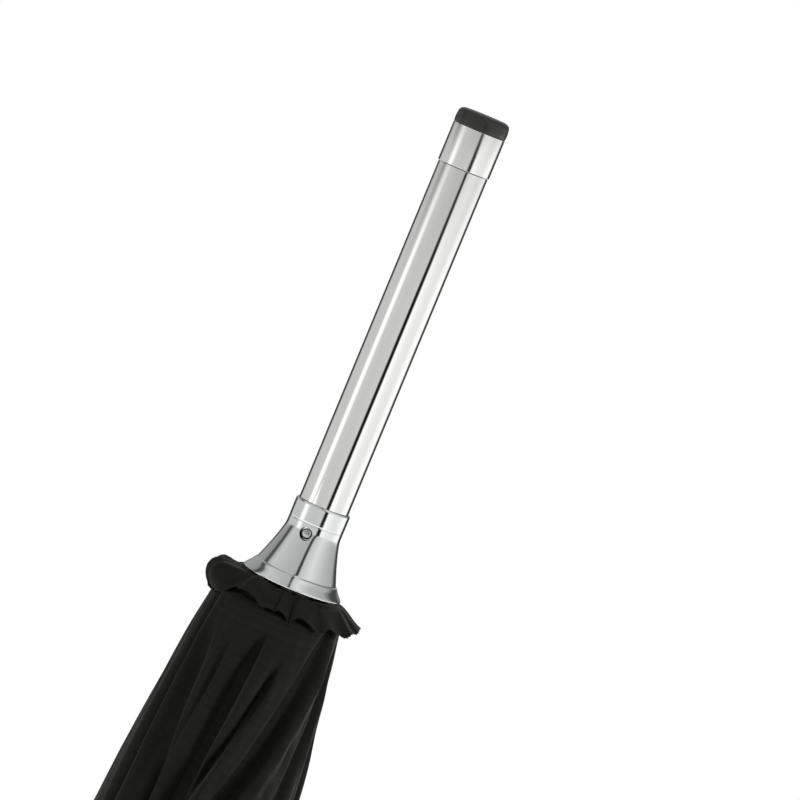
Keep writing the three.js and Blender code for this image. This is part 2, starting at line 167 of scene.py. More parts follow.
SKY = (0.34, 0.34, 0.33)  # what the walls give to matt surfaces


def add_world():
    """White to the camera, and round the object a studio of pale walls, flags and soft boxes."""
    world = bpy.data.worlds.new("studio")
    bpy.context.scene.world = world
    world.use_nodes = True
    tree = world.node_tree
    tree.nodes.clear()
    link = tree.links.new

    def node(kind, **values):
        made = tree.nodes.new("ShaderNode" + kind)
        for key, value in values.items():
            setattr(made, key, value)
        return made

    coordinate = node("TexCoord")
    split = node("SeparateXYZ")
    link(coordinate.outputs["Generated"], split.inputs[0])
    back = node("Math", operation="MULTIPLY")
    back.inputs[1].default_value = -1
    link(split.outputs["Y"], back.inputs[0])
    azimuth = node("Math", operation="ARCTAN2")
    link(split.outputs["X"], azimuth.inputs[0])
    link(back.outputs[0], azimuth.inputs[1])
    upward = node("Math", operation="MAXIMUM")
    upward.inputs[1].default_value = 0
    link(split.outputs["Z"], upward.inputs[0])
    leaned = node("Math", operation="MULTIPLY_ADD")
    leaned.inputs[1].default_value = FLAG_LEAN
    link(upward.outputs[0], leaned.inputs[0])
    link(azimuth.outputs[0], leaned.inputs[2])
    share = node("MapRange")
    share.inputs["From Min"].default_value = -math.pi
    share.inputs["From Max"].default_value = math.pi
    link(leaned.outputs[0], share.inputs["Value"])
    ramps = []
    for stops in (LOW_WALLS, HIGH_WALLS):
        ramp = node("ValToRGB")
        link(share.outputs["Result"], ramp.inputs["Fac"])
        elements = ramp.color_ramp.elements
        while len(elements) < len(stops):
            elements.new(0.5)
        for element, (degrees, level) in zip(elements, stops):
            element.position = (degrees + 180) / 360
            element.color = (level, level, level, 1)
        ramps.append(ramp)
    height = node("MapRange", interpolation_type="SMOOTHSTEP")
    height.inputs["From Min"].default_value = WALLS_MEET[0]
    height.inputs["From Max"].default_value = WALLS_MEET[1]
    link(split.outputs["Z"], height.inputs["Value"])
    walls = node("Mix", data_type="RGBA")
    link(height.outputs["Result"], walls.inputs["Factor"])
    link(ramps[0].outputs["Color"], walls.inputs["A"])
    link(ramps[1].outputs["Color"], walls.inputs["B"])
    studio = node("Background")
    link(walls.outputs["Result"], studio.inputs["Color"])
    soft = node("Background")
    soft.inputs["Color"].default_value = (*SKY, 1)
    white = node("Background")
    white.inputs["Color"].default_value = (1, 1, 1, 1)
    path = node("LightPath")
    matt = node("MixShader")
    link(path.outputs["Is Diffuse Ray"], matt.inputs["Fac"])
    link(studio.outputs[0], matt.inputs[1])
    link(soft.outputs[0], matt.inputs[2])
    choice = node("MixShader")
    link(path.outputs["Is Camera Ray"], choice.inputs["Fac"])
    link(matt.outputs[0], choice.inputs[1])
    link(white.outputs[0], choice.inputs[2])
    output = node("OutputWorld")
    link(choice.outputs[0], output.inputs["Surface"])


def add_sun(name, direction, strength, softness):
    """A wide, soft light from a direction, which chrome doesn't mirror."""
    data = bpy.data.lights.new(name, "SUN")
    data.energy = strength
    data.angle = math.radians(softness)
    light = bpy.data.objects.new(name, data)
    light.visible_glossy = False
    bpy.context.scene.collection.objects.link(light)
    light.matrix_world = Vector(direction).to_track_quat("Z", "Y").to_matrix().to_4x4()


FLOOR_HALF = 2.6
FLOOR_GAP = 2 * MM


def add_floor():
    """A plain pale floor, just below the crook."""
    z = cad_box[0][2] - FLOOR_GAP
    mesh = bpy.data.meshes.new("floor")
    signs = ((-1, -1), (1, -1), (1, 1), (-1, 1))
    mesh.from_pydata([(FLOOR_HALF * x, FLOOR_HALF * y, z) for x, y in signs], [], [(0, 1, 2, 3)])
    floor = bpy.data.objects.new("floor", mesh)
    bpy.context.scene.collection.objects.link(floor)
    floor.data.materials.append(floor_material())


# ---- Materials ----

NOISE_SPAN = (0.25, 0.75)  # what a noise texture mostly keeps within
WAVE_RADIANS = 20  # that a wave texture turns through in one unit at a scale of 1
WEFT_SHARE = 0.35  # height of the finer threads against the coarser


class Nodes:
    """A short way to write a node tree round one Principled shader."""

    def __init__(self, name):
        self.material = bpy.data.materials.new(name)
        self.material.use_nodes = True
        self.tree = self.material.node_tree
        self.link = self.tree.links.new
        self.shader = self.tree.nodes["Principled BSDF"]

    def add(self, kind, **values):
        node = self.tree.nodes.new("ShaderNode" + kind)
        for key, value in values.items():
            setattr(node, key, value)
        return node

    def set(self, **values):
        for key, value in values.items():
            self.shader.inputs[key.replace("_", " ")].default_value = value

    def noise(self, scale, detail=3.0, stretch=(1, 1, 1), vector=None):
        """Noise in the object's own coordinates or in others, multiplied by a stretch."""
        if vector is None:
            vector = self.add("TexCoord").outputs["Object"]
        mapping = self.add("Mapping")
        mapping.inputs["Scale"].default_value = stretch
        self.link(vector, mapping.inputs["Vector"])
        node = self.add("TexNoise")
        node.inputs["Scale"].default_value = scale
        node.inputs["Detail"].default_value = detail
        self.link(mapping.outputs["Vector"], node.inputs["Vector"])
        return node.outputs["Fac"]

    def roughen(self, value, low, high):
        """A noise mapped between two numbers, into Roughness."""
        node = self.add("MapRange")
        node.inputs["From Min"].default_value = NOISE_SPAN[0]
        node.inputs["From Max"].default_value = NOISE_SPAN[1]
        node.inputs["To Min"].default_value = low
        node.inputs["To Max"].default_value = high
        self.link(value, node.inputs["Value"])
        self.link(node.outputs["Result"], self.shader.inputs["Roughness"])

    def tint(self, value, dark, light):
        """A 0 to 1 value mapped between two colours, into Base Color."""
        node = self.add("Mix", data_type="RGBA")
        node.inputs["A"].default_value = (*dark, 1)
        node.inputs["B"].default_value = (*light, 1)
        self.link(value, node.inputs["Factor"])
        self.link(node.outputs["Result"], self.shader.inputs["Base Color"])

    def bump(self, height, distance, strength, under=None):
        """A height turned into the shader's normal, over another bump if there is one."""
        node = self.add("Bump")
        node.inputs["Strength"].default_value = strength
        node.inputs["Distance"].default_value = distance
        self.link(height, node.inputs["Height"])
        if under is not None:
            self.link(under, node.inputs["Normal"])
        self.link(node.outputs["Normal"], self.shader.inputs["Normal"])
        return node.outputs["Normal"]


def floor_material():
    """Pale matt paint with a faint mottle."""
    nodes = Nodes("floor_paint")
    mottle = nodes.noise(scale=6)
    nodes.tint(mottle, (0.88, 0.88, 0.87), (0.92, 0.92, 0.91))
    nodes.roughen(mottle, 0.75, 0.85)
    return nodes.material


def metal_material(name, color, roughness, smear):
    """Plated metal: mirror-like, with faint handling marks that run along the shaft."""
    nodes = Nodes(name)
    nodes.set(Metallic=1.0)
    marks = nodes.noise(scale=900, stretch=(1, 1, 0.12))
    clouds = nodes.noise(scale=60)
    nodes.tint(clouds, [c * 0.96 for c in color], color)
    nodes.roughen(clouds, roughness, roughness + smear)
    nodes.bump(marks, distance=0.002 * MM, strength=0.25)
    return nodes.material


def enamel_material(name, color, roughness):
    """Black enamel or lacquer with slight orange peel and an uneven sheen under a thin clear coat."""
    nodes = Nodes(name)
    nodes.set(Coat_Weight=0.25, Coat_Roughness=0.06)
    peel = nodes.noise(scale=450, detail=2)
    clouds = nodes.noise(scale=35)
    nodes.tint(clouds, [c * 0.8 for c in color], [c * 1.25 for c in color])
    nodes.roughen(clouds, roughness - 0.06, roughness + 0.08)
    nodes.bump(peel, distance=0.01 * MM, strength=0.25)
    return nodes.material


def rubber_material():
    """Moulded rubber with a fine grain and a faint, uneven bloom."""
    nodes = Nodes("rubber")
    grain = nodes.noise(scale=2500, detail=4)
    clouds = nodes.noise(scale=220)
    nodes.tint(clouds, (0.010, 0.010, 0.009), (0.022, 0.022, 0.020))
    nodes.roughen(clouds, 0.30, 0.42)
    nodes.bump(grain, distance=0.03 * MM, strength=0.5)
    return nodes.material


def cloth_material(name, pitch, sheen):
    """Black woven cloth. Its UV map is in metres: U across the cloth, V along it."""
    nodes = Nodes(name)
    nodes.set(Sheen_Weight=sheen, Sheen_Roughness=0.4, Sheen_Tint=(0.8, 0.8, 0.74, 1))
    nodes.set(Specular_IOR_Level=0.1)
    uv = nodes.add("UVMap").outputs["UV"]
    heights = []
    for direction, step in (("Y", pitch), ("X", pitch * 0.5)):
        wave = nodes.add("TexWave", bands_direction=direction, wave_profile="SIN")
        wave.inputs["Scale"].default_value = 2 * math.pi / (WAVE_RADIANS * step)
        nodes.link(uv, wave.inputs["Vector"])
        heights.append(wave.outputs["Fac"])
    weave = nodes.add("Math", operation="MULTIPLY_ADD")
    nodes.link(heights[1], weave.inputs[0])
    weave.inputs[1].default_value = WEFT_SHARE
    nodes.link(heights[0], weave.inputs[2])
    slub = nodes.noise(scale=1.0, detail=2, stretch=(40, 900, 1), vector=uv)
    clouds = nodes.noise(scale=90)
    nodes.tint(slub, (0.0055, 0.0055, 0.005), (0.013, 0.013, 0.012))
    nodes.roughen(clouds, 0.62, 0.8)
    threads = nodes.bump(weave.outputs[0], distance=0.05 * MM, strength=0.32)
    nodes.bump(slub, distance=0.05 * MM, strength=0.35, under=threads)
    return nodes.material


CHROME = metal_material("chrome", (0.93, 0.94, 0.915), 0.03, 0.03)
CHROME_COLLAR = metal_material("chrome_collar", (0.92, 0.925, 0.91), 0.10, 0.03)
# The rivet's chrome is a darker copy of the bell's: painted shade of the recess it sits in
RIVET_CHROME_PAINTED_SHADE = metal_material("rivet_chrome_painted_shade", (0.50, 0.51, 0.50), 0.16, 0.05)
SATIN_CHROME = metal_material("satin_chrome", (0.88, 0.90, 0.895), 0.06, 0.05)
STEEL = metal_material("steel", (0.55, 0.56, 0.57), 0.28, 0.12)
BLACK_STEEL = enamel_material("black_steel", (0.010, 0.010, 0.0105), 0.22)
PLASTIC = enamel_material("runner_plastic", (0.013, 0.013, 0.0135), 0.38)
LACQUER = enamel_material("crook_lacquer", (0.008, 0.0075, 0.007), 0.13)
RUBBER = rubber_material()
CLOTH = cloth_material("cover_cloth", 0.45 * MM, 0.10)
RUFFLE_CLOTH = cloth_material("ruffle_cloth", 0.30 * MM, 0.08)


# ---- Mesh helpers ----

SHARP_TURNED = 50  # degrees from which an edge is shaded sharp
SHARP_CARVED = 40
SIDE_SHARE = 0.45  # the most of a side that the rounding of a corner takes


def make_piece(name, vertices, faces, material, sharp_deg=None, uv=None):
    """A smooth-shaded mesh object in the frame's axes. uv holds one pair for each vertex."""
    mesh = bpy.data.meshes.new(name)
    mesh.from_pydata([tuple(v) for v in vertices], [], faces)
    mesh.validate()
    mesh.shade_smooth()
    if sharp_deg is not None:
        mesh.set_sharp_from_angle(angle=math.radians(sharp_deg))
    if uv is not None:
        layer = mesh.uv_layers.new(name="UVMap")
        corner = np.zeros(len(mesh.loops), np.int32)
        mesh.loops.foreach_get("vertex_index", corner)
        layer.data.foreach_set("uv", np.asarray(uv, np.float32)[corner].ravel())
    mesh.materials.append(material)
    piece = bpy.data.objects.new(name, mesh)
    bpy.context.scene.collection.objects.link(piece)
    return piece


def grid_faces(rows, columns, wrap=False, flip=False):
    """Quads of a grid of rows x columns vertices; wrap joins the last column to the first."""
    faces = []
    for row in range(rows - 1):
        for column in range(columns if wrap else columns - 1):
            right = (column + 1) % columns
            a, b = row * columns + column, row * columns + right
            c, d = b + columns, a + columns
            faces.append((a, d, c, b) if flip else (a, b, c, d))
    return faces


def rounded(points, radius, steps=4):
    """The polyline with each inner corner turned into a small arc."""
    out = [points[0]]
    for before, corner, after in zip(points, points[1:], points[2:]):
        a, c, b = (np.array(p, float) for p in (before, corner, after))
        into, out_of = a - c, b - c
        near, far = np.linalg.norm(into), np.linalg.norm(out_of)
        reach = min(radius, SIDE_SHARE * near, SIDE_SHARE * far)
        start = c + into / near * reach
        end = c + out_of / far * reach
        for k in range(steps + 1):
            t = k / steps
            out.append(tuple((1 - t) ** 2 * start + 2 * t * (1 - t) * c + t * t * end))
    out.append(points[-1])
    return out


def circle(radius, segments):
    """Points of a ring about the origin."""
    radius = max(radius, AXIS_RADIUS)
    angles = np.linspace(0, 2 * math.pi, segments, endpoint=False)
    return [(radius * math.cos(angle), radius * math.sin(angle)) for angle in angles]


def revolve(name, profile, material, segments=144, sharp_deg=SHARP_TURNED, centre=(0, 0)):
    """A surface of revolution about a vertical axis; profile is (radius, z), bottom to top outside."""
    vertices = []
    for radius, z in profile:
        vertices += [(centre[0] + x, centre[1] + y, z) for x, y in circle(radius, segments)]
    faces = grid_faces(len(profile), segments, wrap=True)
    return make_piece(name, vertices, faces, material, sharp_deg)


def turned_out(name, profile, azimuth, z, material, segments=48):
    """A turned piece whose axis points out from the shaft; profile is (radius, reach), inner first."""
    out = Vector((math.cos(azimuth), math.sin(azimuth), 0))
    turn = out.to_track_quat("Z", "Y").to_matrix()
    centre = Vector((0, 0, z))
    vertices = []
    for radius, reach in profile:
        vertices += [centre + turn @ Vector((x, y, reach)) for x, y in circle(radius, segments)]
    faces = grid_faces(len(profile), segments, wrap=True)
    return make_piece(name, vertices, faces, material, SHARP_TURNED)


def carve(piece, cutter):
    """Cuts the piece with another mesh object, which is then removed."""
    cut = piece.modifiers.new("carve", "BOOLEAN")
    cut.object = cutter
    cut.solver = "EXACT"
    bpy.context.view_layer.objects.active = piece
    bpy.ops.object.modifier_apply(modifier=cut.name)
    bpy.data.objects.remove(cutter)
    piece.data.shade_smooth()
    piece.data.set_sharp_from_angle(angle=math.radians(SHARP_CARVED))


def block(azimuth, reach, width, low, high):
    """A box from the shaft's axis out to a reach, for cutting slots."""
    bpy.ops.mesh.primitive_cube_add(size=1)
    cutter = bpy.context.active_object
    spin = Matrix.Rotation(azimuth, 4, "Z")
    place = Matrix.Translation((reach / 2, 0, (low + high) / 2))
    cutter.matrix_world = spin @ place @ Matrix.Diagonal((reach, width, high - low, 1))
    return cutter


def fixed(piece, body, node):
    """The piece stands for a CAD node and moves with its body."""
    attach(piece, body)
    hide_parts(node)


# ---- Ferrule ----

HAIRLINE = 0.04 * MM  # the dark line where two turned parts meet


def build_ferrule():
    """Tube, collar and rubber tip, with their edges broken as on turned parts."""
    shaft = SHAFT_RADIUS
    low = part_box("ferrule_tube")[0][2]
    step = BELL_TOP + HAIRLINE
    top = TUBE_TOP + 0.15 * MM
    spigot = 4.7 * MM
    tube = [
        (TUBE_BORE, low), (spigot, low), (spigot, step), (shaft, step), (shaft, top), (TUBE_BORE, top),
    ]
    shell = revolve("ferrule_tube_shell", rounded(tube, 0.04 * MM), CHROME)
    fixed(shell, "root", "ferrule_tube")

    base = top + 4 * HAIRLINE
    edge = COLLAR_RADIUS
    bore = 4.0 * MM
    collar = [
        (bore, base), (edge, base), (edge, base + 1.0 * MM), (edge, COLLAR_TOP), (bore, COLLAR_TOP),
    ]
    shell = revolve("ferrule_collar_shell", rounded(collar, 0.05 * MM), CHROME_COLLAR)
    fixed(shell, "root", "ferrule_collar")

    rubber_low = COLLAR_TOP + HAIRLINE
    stem = 3.7 * MM
    stem_end = rubber_low - 12 * MM
    tip = [
        (0, stem_end), (stem, stem_end), (stem, rubber_low),
        (edge, rubber_low), (edge + 0.06 * MM, rubber_low + 1.0 * MM),
        (edge - 0.05 * MM, TIP_Z - 0.9 * MM), (edge - 0.28 * MM, TIP_Z - 0.35 * MM),
        (edge - 0.85 * MM, TIP_Z - 0.04 * MM), (edge - 1.1 * MM, TIP_Z), (0, TIP_Z),
    ]
    mould = revolve("rubber_tip_mould", rounded(tip, 0.22 * MM, 6), RUBBER)
    fixed(mould, "root", "rubber_tip")


BELL_NECK = 5.45  # radius above the flare, in mm like the flare's own sizes
FLARE_OUT = 2.6
FLARE_POWER = 1.25
FLARE_TOP = 10.9
FLARE_DROP = 8.35
FLARE_STEPS = 18


def build_bell():
    """The spun bell cap with its rolled rim, step and groove, and the cross rivet in its hole."""
    height = (BELL_TOP - RIM_Z) / MM
    flare = []
    for k in range(FLARE_STEPS + 1):
        t = 1 - k / FLARE_STEPS
        flare.append((BELL_NECK + FLARE_OUT * t ** FLARE_POWER, FLARE_TOP - FLARE_DROP * t))
    outside = [
        (9.35, 0.25), (9.5, 0.0), (9.88, 0.0), (9.97, 0.25), (9.62, 0.7), (8.85, 1.62), (8.48, 2.15),
        (8.36, 2.38), *flare, (BELL_NECK, height - 3.9), (5.41, height - 3.7), (BELL_NECK, height - 3.5),
        (5.47, height - 0.3), (5.35, height), (5.05, height),
    ]
    inside = [(5.05, 9.9), (5.7, 7.4), (6.5, 5.0), (7.6, 2.6), (9.1, 0.6), (9.35, 0.25)]
    section = [(radius * MM, RIM_Z + above * MM) for radius, above in outside + inside]
    section = rounded(section, 0.25 * MM, 5)
    bell = revolve("bell_cap_spun", section, SATIN_CHROME, 160, 60)

    lowest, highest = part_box("bell_rivet")
    middle = (lowest + highest) / 2
    azimuth = math.atan2(middle.y, middle.x)
    hole_radius = 1.32 * MM
    near, far = 2 * MM, 9 * MM
    hole = [(0, near), (hole_radius, near), (hole_radius, far), (0, far)]
    carve(bell, turned_out("rivet_hole", hole, azimuth, middle.z, SATIN_CHROME))
    fixed(bell, "root", "bell_cap")

    head = [
        (0, 3.0), (1.12, 3.0), (1.12, 4.35), (1.06, 4.7), (0.9, 4.98), (0.65, 5.16), (0.33, 5.25),
        (0, 5.27),
    ]
    head = [(radius * MM, reach * MM) for radius, reach in head]
    # The rivet head takes the darker chrome, which paints the shade of its hole
    rivet = turned_out("bell_rivet_head", head, azimuth, middle.z, RIVET_CHROME_PAINTED_SHADE)
    fixed(rivet, "root", "bell_rivet")


# ---- Cover ----

HALF_GORE = math.pi / RIB_COUNT
PASSES = 18  # folds of hidden cloth in each half gore
PASS_STEPS = 4
BRIDGE_STEPS = 14  # from the last hidden pass to the start of the shown face
SHOWN_STEPS = 30
TOP_ROWS = 34
LOW_ROWS = 44
TOP_S = -2.9 * MM  # the gores' top edge, low enough to swing clear of the shaft
NECK_TOP = 1.3 * MM  # depth of the neck's upper edge below the rim
NECK_GATHER = 3.0 * MM  # depth at which it is drawn in
NECK_BORE = 6.3 * MM
FINE_S = 42 * MM  # rows are close together down to here
HEM_S = RIB_LENGTH - HEM_ABOVE_RIB_END
CLOTH_GAP = 0.4 * MM
CROWN_DEPTH = RIM_Z - CROWN_Z

# Creases between the soft pleats: azimuth from the front in degrees at the ruffle and 44 mm below
# the rim, depth in mm, width in degrees, and the depth below the rim at which it starts. The pleat
# on a crease's right lies over it with a raised edge.
CREASES = [
    (-62, -56, 4.2, 4.5, 3), (-48, -34, 1.3, 5.5, 9), (-25, -33, 0.7, 3.0, 8), (-2, -15, 4.6, 6.2, 6),
    (21, -9, 2.4, 3.8, 11), (57, 11, 4.2, 6.2, 2), (86, 48, 1.2, 5.0, 4),
]
BACK_CREASES = 8
BACK_SPAN = (103, 284)  # degrees from the front that they fill
CREASE_HIGH = 7  # mm below the rim where a crease is at its first azimuth
CREASE_LOW = 44  # and at its second
CREASE_DRIFT = 0.25  # the share it goes on by in the DRIFT_DEPTH mm below
DRIFT_DEPTH = 530
CREASE_GAIN = 1.35
CREASE_ONSET = 13  # mm in which a crease comes to its depth
CREASE_GROWTH = 0.9  # what it gains in the GROWTH_DEPTH mm below CREASE_LOW
GROWTH_DEPTH = 160
VALLEY_LEFT = 1.35  # its reach to each side, in widths
VALLEY_RIGHT = 0.4
EDGE_SHARE = 0.2  # height of its raised edge in depths, place and width in widths
EDGE_PLACE = 1.5
EDGE_WIDTH = 0.9

# The closed cover's outline in mm: radius at the rim, how much it swells and over what depth; how
# far it is drawn in under the frill, from what depth and in what length; how far it leans at the
# rim and by what depth that is gone.
BUNDLE_RADIUS = 12
BUNDLE_SWELL = 23
SWELL_DEPTH = 150
TUCK = 4.2
TUCK_DEPTH = 5.6
TUCK_LENGTH = 2.6
BUNDLE_LEAN = 0.7
LEAN_DEPTH = 60

# Small waves in the closed cloth: height in mm, degrees round and mm down for each radian, phase
RIPPLE_FINE = (0.10, 3.1, 11, 0)
RIPPLE_FINEST = (0.08, 1.7, -7, 1)
RIPPLE_BROAD = (0.16, 9, 23, 2)
BROAD_ONSET = 60  # mm in which the broad one comes to its height
RIPPLE_START = 3  # depth in mm from which all of them come in, and over how much
RIPPLE_ONSET = 12
RIB_COVER_MIN = 0.9 * MM  # of the outer face above the cloth on the ribs

# How far the folded cloth is twisted from the ribs: the twist comes in from one depth in mm over
# a length, and loses a share of itself from another depth.
SEAM_TWIST = math.radians(-15)
TWIST_START = 6
TWIST_LENGTH = 44
TWIST_LOSS = 0.8
EASE_START = 80
EASE_LENGTH = 300

# The layers of one half gore
FIRST_FOLD = math.radians(0.4)  # from the rib's middle to the cloth's first fold
SWEEP_MIN = math.radians(0.2)
SWEEP_START = math.radians(4)
SWEEP_MAX = math.radians(21.4)
FOLD_NEAR = (-6, -4, -2, 0, 2, 4, 6)  # degrees to each side where the folds keep behind the face
FOLD_CLEAR = 0.5 * MM
FOLD_DEPTH_MIN = 0.3 * MM
BRIDGE_NEAR = (-1.5, 0, 1.5)
BRIDGE_CLEAR = 0.35 * MM
SHOWN_POWER = 1.25  # columns of the shown face crowd towards its fold
BEAD_HEIGHT = 0.06 * MM  # raised line along that fold
BEAD_WIDTH = 0.45 * MM
GORE_MIDDLE = 0.9325  # depth on the gore's middle line for each unit of depth on its ribs
SETTLE_START = 8 * MM  # the open panel is made flat from this depth, in this length
SETTLE_LENGTH = 30 * MM
SWEEP_ROUNDS = 6
SETTLE_ROUNDS = 8
WEIGHT_STEP = 0.01
SLOPE_MIN = 1 * MM  # weights are left alone where they hardly move the cloth


def smooth(value):
    """0 below 0, 1 above 1 and a soft step between."""
    t = np.clip(value, 0, 1)
    return t * t * (3 - 2 * t)


def all_creases():
    """The front creases and others round the back, placed by a seeded generator."""
    rng = np.random.default_rng(7)
    creases = list(CREASES)
    first, last = BACK_SPAN
    for k in range(BACK_CREASES):
        top = first + k * (last - first) / BACK_CREASES + rng.uniform(-4, 4)
        low = top - 26 + 20 * k / BACK_CREASES + rng.uniform(-4, 4)
        creases.append((top, low, rng.uniform(0.7, 1.7), rng.uniform(5, 7.5), rng.uniform(2, 10)))
    return creases


ALL_CREASES = all_creases()


def rib_offset(s):
    """Radius of the closed rib's pivot line beyond the pivot ring, at a depth below the crown."""
    depth = np.maximum(s, 0)
    return RIB_RISE * depth - RIB_BOW * depth * depth


def inner_radius(s):
    """Where the cloth lies on the closed ribs."""
    return PIVOT_RADIUS + rib_offset(s) + RIB_BACK + CLOTH_GAP


def wave(psi, depth, height, degrees_round, mm_down, phase):
    """One of the small waves in the closed cloth."""
    return height * np.sin(psi / degrees_round + depth / mm_down + phase)


def cover_radius(azimuth, s):
    """Outer surface of the closed cover, pleats and all."""
    depth = (s + CROWN_DEPTH) / MM
    radius = BUNDLE_RADIUS + BUNDLE_SWELL * (1 - np.exp(-depth / SWELL_DEPTH))
    psi = np.degrees(azimuth - FRONT)
    low_share = np.clip((depth - CREASE_HIGH) / (CREASE_LOW - CREASE_HIGH), -0.2, 1)
    low_share = low_share + CREASE_DRIFT * np.clip((depth - CREASE_LOW) / DRIFT_DEPTH, 0, 1)
    growth = 1 + CREASE_GROWTH * smooth((depth - CREASE_LOW) / GROWTH_DEPTH)
    for top, low, deep, wide, start in ALL_CREASES:
        centre = top + (low - top) * low_share
        away = (psi - centre + 180) % 360 - 180
        strength = CREASE_GAIN * deep * growth * smooth((depth - start) / CREASE_ONSET)
        reach = np.where(away < 0, VALLEY_LEFT * wide, VALLEY_RIGHT * wide)
        valley = np.exp(-((away / reach) ** 2))
        edge = np.exp(-(((away - EDGE_PLACE * wide) / (EDGE_WIDTH * wide)) ** 2))
        radius = radius - strength * (valley - EDGE_SHARE * edge)
    ripple = wave(psi, depth, *RIPPLE_FINE) + wave(psi, depth, *RIPPLE_FINEST)
    ripple = ripple + wave(psi, depth, *RIPPLE_BROAD) * smooth(depth / BROAD_ONSET)
    radius = radius + ripple * smooth((depth - RIPPLE_START) / RIPPLE_ONSET)
    radius = radius - TUCK * smooth((TUCK_DEPTH - depth) / TUCK_LENGTH)
    lean = BUNDLE_LEAN * smooth(1 - depth / LEAN_DEPTH) * np.cos(np.radians(psi + 90))
    return np.maximum((radius + lean) * MM, inner_radius(s) + RIB_COVER_MIN)


def seam_shift(s):
    """How far the folded cloth is twisted from the ribs, as an angle."""
    depth = (s + CROWN_DEPTH) / MM
    eased = 1 - TWIST_LOSS * smooth((depth - EASE_START) / EASE_LENGTH)
    return SEAM_TWIST * smooth((depth - TWIST_START) / TWIST_LENGTH) * eased


def round_axis(radius, azimuth, z):
    """Points from radii, azimuths and heights."""
    return np.stack([radius * np.cos(azimuth), radius * np.sin(azimuth), z + 0 * radius], -1)


def turn_points(points, joint, angle):
    """Points turned about a joint's axis by an angle each."""
    axis = np.array(joint["axis"], float)
    centre = np.array(joint["pos_m"], float)
    arm = points - centre
    cosine = np.cos(angle)[..., None]
    sine = np.sin(angle)[..., None]
    along = (arm @ axis)[..., None]
    return centre + arm * cosine + np.cross(axis, arm) * sine + axis * along * (1 - cosine)


